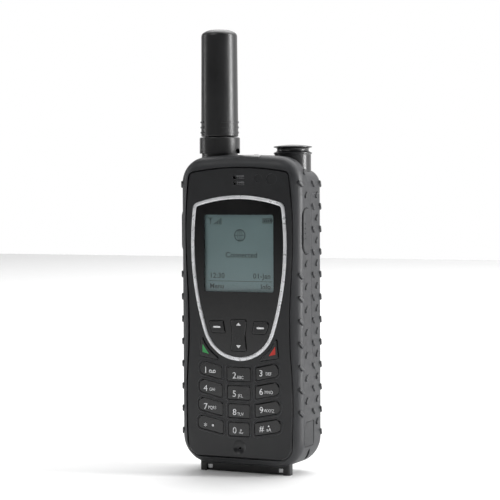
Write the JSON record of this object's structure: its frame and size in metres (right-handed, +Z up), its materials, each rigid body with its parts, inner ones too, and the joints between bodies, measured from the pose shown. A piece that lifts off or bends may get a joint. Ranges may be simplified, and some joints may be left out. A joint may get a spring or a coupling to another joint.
{
  "type": "satellite phone",
  "caption": "Rugged handheld satellite phone with a keypad, display, tilting pull-out antenna, navigation stub, removable battery, side keys and covered headset port.",
  "frame": {"origin": "centre of the footprint of the bottom connector, on the plane the phone stands on", "axes": "+X to the right as seen from the keypad side, -Y out of the keypad, +Z up along the antenna"},
  "size_m": [0.06, 0.027, 0.1962],
  "materials": {
    "housing_shell": "fine-textured dark grey moulding",
    "face_plate": "dark lacquered plate with a satin sheen",
    "bezel": "satin bright metal ring",
    "window_black": "polished black surround",
    "display_glass": "clear display window",
    "display_module": "grey-green reflective display",
    "key_plastic": "black keys with light legends",
    "side_rubber": "ribbed dark side keys",
    "emergency_lid": "dark satin lid",
    "emergency_button": "red button",
    "keypad_rubber": "translucent grey keypad mat",
    "dome_film": "film with metal domes",
    "circuit_board": "green circuit board",
    "sheet_metal": "tinned sheet steel",
    "contact_block": "black block with sprung pins",
    "gold_contacts": "gold-plated contacts",
    "inner_cover": "inner rear cover",
    "screw_steel": "zinc-plated steel",
    "battery_shell": "textured dark grey battery case",
    "battery_tray": "battery inner lid",
    "battery_cell": "aluminium cell can",
    "antenna_plastic": "satin black antenna tube",
    "antenna_mast": "black inner mast",
    "patch_ceramic": "ceramic patch antenna",
    "connector_black": "black moulded connector"
  },
  "bodies": {
    "housing": {"front_housing": "housing_shell", "face_plate": "face_plate", "bezel_ring": "bezel", "window_panel": "window_black", "display_window": "display_glass", "display_panel": "display_module", "keypad_mat": "keypad_rubber", "dome_sheet": "dome_film", "main_board": "circuit_board", "shield_cans": "sheet_metal", "sim_holder": "sheet_metal", "battery_contacts": "contact_block", "side_switches": "circuit_board", "earpiece": "contact_block", "earpiece_mesh": "sheet_metal", "microphone": "contact_block", "loudspeaker": "contact_block", "vibration_motor": "sheet_metal", "headset_jack": "contact_block", "rear_cover": "inner_cover", "cover_gasket": "keypad_rubber", "cover_screws": "screw_steel", "antenna_pivot_pin": "screw_steel", "receiver_radome": "antenna_plastic", "receiver_antenna": "patch_ceramic", "dock_block": "connector_black", "dock_contacts": "gold_contacts", "lanyard_bar": "screw_steel"},
    "antenna_base": {"antenna_swivel": "antenna_plastic", "antenna_collar": "antenna_plastic", "antenna_mast": "antenna_mast"},
    "antenna_tube": {"antenna_radome": "antenna_plastic", "antenna_element": "gold_contacts"},
    "battery_pack": {"battery_case": "battery_shell", "battery_tray": "battery_tray", "battery_terminals": "gold_contacts", "battery_cell": "battery_cell"},
    "battery_latch": {"battery_latch": "battery_shell"},
    "port_cover": {"port_cover": "side_rubber"},
    "sos_lid": {"sos_lid": "emergency_lid"},
    "sos_button": {"sos_button": "emergency_button"},
    "side_key": {"side_key": "side_rubber"},
    "volume_key": {"volume_key": "side_rubber"},
    "scroll_key": {"scroll_key": "key_plastic"},
    "key_1": {"key_1": "key_plastic"},
    "key_2": {"key_2": "key_plastic"},
    "key_3": {"key_3": "key_plastic"},
    "key_4": {"key_4": "key_plastic"},
    "key_5": {"key_5": "key_plastic"},
    "key_6": {"key_6": "key_plastic"},
    "key_7": {"key_7": "key_plastic"},
    "key_8": {"key_8": "key_plastic"},
    "key_9": {"key_9": "key_plastic"},
    "key_star": {"key_star": "key_plastic"},
    "key_0": {"key_0": "key_plastic"},
    "key_hash": {"key_hash": "key_plastic"},
    "call_key": {"call_key": "key_plastic"},
    "end_key": {"end_key": "key_plastic"},
    "soft_key_left": {"soft_key_left": "key_plastic"},
    "soft_key_right": {"soft_key_right": "key_plastic"}
  },
  "joints": [
    {"name": "antenna_tilt", "type": "hinge", "parent": "housing", "child": "antenna_base", "pos_m": [-0.0174, 0.0044, 0.1325], "axis": [0, 1, 0], "range_deg": [-25, 25]},
    {"name": "antenna_extend", "type": "slide", "parent": "antenna_base", "child": "antenna_tube", "axis": [0, 0, 1], "range_m": [0, 0.038]},
    {"name": "key_1_press", "type": "slide", "parent": "housing", "child": "key_1", "axis": [0, 1, 0], "range_m": [0, 0.0006], "stiffness_N_per_m": 300},
    {"name": "key_2_press", "type": "slide", "parent": "housing", "child": "key_2", "axis": [0, 1, 0], "range_m": [0, 0.0006], "stiffness_N_per_m": 300},
    {"name": "key_3_press", "type": "slide", "parent": "housing", "child": "key_3", "axis": [0, 1, 0], "range_m": [0, 0.0006], "stiffness_N_per_m": 300},
    {"name": "key_4_press", "type": "slide", "parent": "housing", "child": "key_4", "axis": [0, 1, 0], "range_m": [0, 0.0006], "stiffness_N_per_m": 300},
    {"name": "key_5_press", "type": "slide", "parent": "housing", "child": "key_5", "axis": [0, 1, 0], "range_m": [0, 0.0006], "stiffness_N_per_m": 300},
    {"name": "key_6_press", "type": "slide", "parent": "housing", "child": "key_6", "axis": [0, 1, 0], "range_m": [0, 0.0006], "stiffness_N_per_m": 300},
    {"name": "key_7_press", "type": "slide", "parent": "housing", "child": "key_7", "axis": [0, 1, 0], "range_m": [0, 0.0006], "stiffness_N_per_m": 300},
    {"name": "key_8_press", "type": "slide", "parent": "housing", "child": "key_8", "axis": [0, 1, 0], "range_m": [0, 0.0006], "stiffness_N_per_m": 300},
    {"name": "key_9_press", "type": "slide", "parent": "housing", "child": "key_9", "axis": [0, 1, 0], "range_m": [0, 0.0006], "stiffness_N_per_m": 300},
    {"name": "key_star_press", "type": "slide", "parent": "housing", "child": "key_star", "axis": [0, 1, 0], "range_m": [0, 0.0006], "stiffness_N_per_m": 300},
    {"name": "key_0_press", "type": "slide", "parent": "housing", "child": "key_0", "axis": [0, 1, 0], "range_m": [0, 0.0006], "stiffness_N_per_m": 300},
    {"name": "key_hash_press", "type": "slide", "parent": "housing", "child": "key_hash", "axis": [0, 1, 0], "range_m": [0, 0.0006], "stiffness_N_per_m": 300},
    {"name": "call_key_press", "type": "slide", "parent": "housing", "child": "call_key", "axis": [0, 1, 0], "range_m": [0, 0.0006], "stiffness_N_per_m": 300},
    {"name": "end_key_press", "type": "slide", "parent": "housing", "child": "end_key", "axis": [0, 1, 0], "range_m": [0, 0.0006], "stiffness_N_per_m": 300},
    {"name": "soft_key_left_press", "type": "slide", "parent": "housing", "child": "soft_key_left", "axis": [0, 1, 0], "range_m": [0, 0.0006], "stiffness_N_per_m": 300},
    {"name": "soft_key_right_press", "type": "slide", "parent": "housing", "child": "soft_key_right", "axis": [0, 1, 0], "range_m": [0, 0.0006], "stiffness_N_per_m": 300},
    {"name": "scroll_key_rock", "type": "hinge", "parent": "housing", "child": "scroll_key", "pos_m": [0, -0.0115, 0.0611], "axis": [1, 0, 0], "range_deg": [-2.5, 2.5], "stiffness_Nm_per_rad": 0.05},
    {"name": "side_key_press", "type": "slide", "parent": "housing", "child": "side_key", "axis": [-1, 0, 0], "range_m": [0, 0.0007], "stiffness_N_per_m": 300},
    {"name": "volume_key_rock", "type": "hinge", "parent": "housing", "child": "volume_key", "pos_m": [-0.0276, -0.0058, 0.1067], "axis": [0, 1, 0], "range_deg": [-2.5, 2.5], "stiffness_Nm_per_rad": 0.05},
    {"name": "sos_lid_hinge", "type": "hinge", "parent": "housing", "child": "sos_lid", "pos_m": [0.00485, 0.0079, 0.13885], "axis": [-1, 0, 0], "range_deg": [0, 100]},
    {"name": "sos_button_press", "type": "slide", "parent": "housing", "child": "sos_button", "axis": [0, 0, -1], "range_m": [0, 0.0008], "stiffness_N_per_m": 200},
    {"name": "port_cover_hinge", "type": "hinge", "parent": "housing", "child": "port_cover", "pos_m": [0.02855, 0.00095, 0.0182], "axis": [0, 0, 1], "range_deg": [0, 95]},
    {"name": "battery_release", "type": "slide", "parent": "housing", "child": "battery_pack", "axis": [0, 1, 0], "range_m": [0, 0.018]},
    {"name": "battery_latch_slide", "type": "slide", "parent": "housing", "child": "battery_latch", "axis": [0, 0, -1], "range_m": [0, 0.003]}
  ]
}
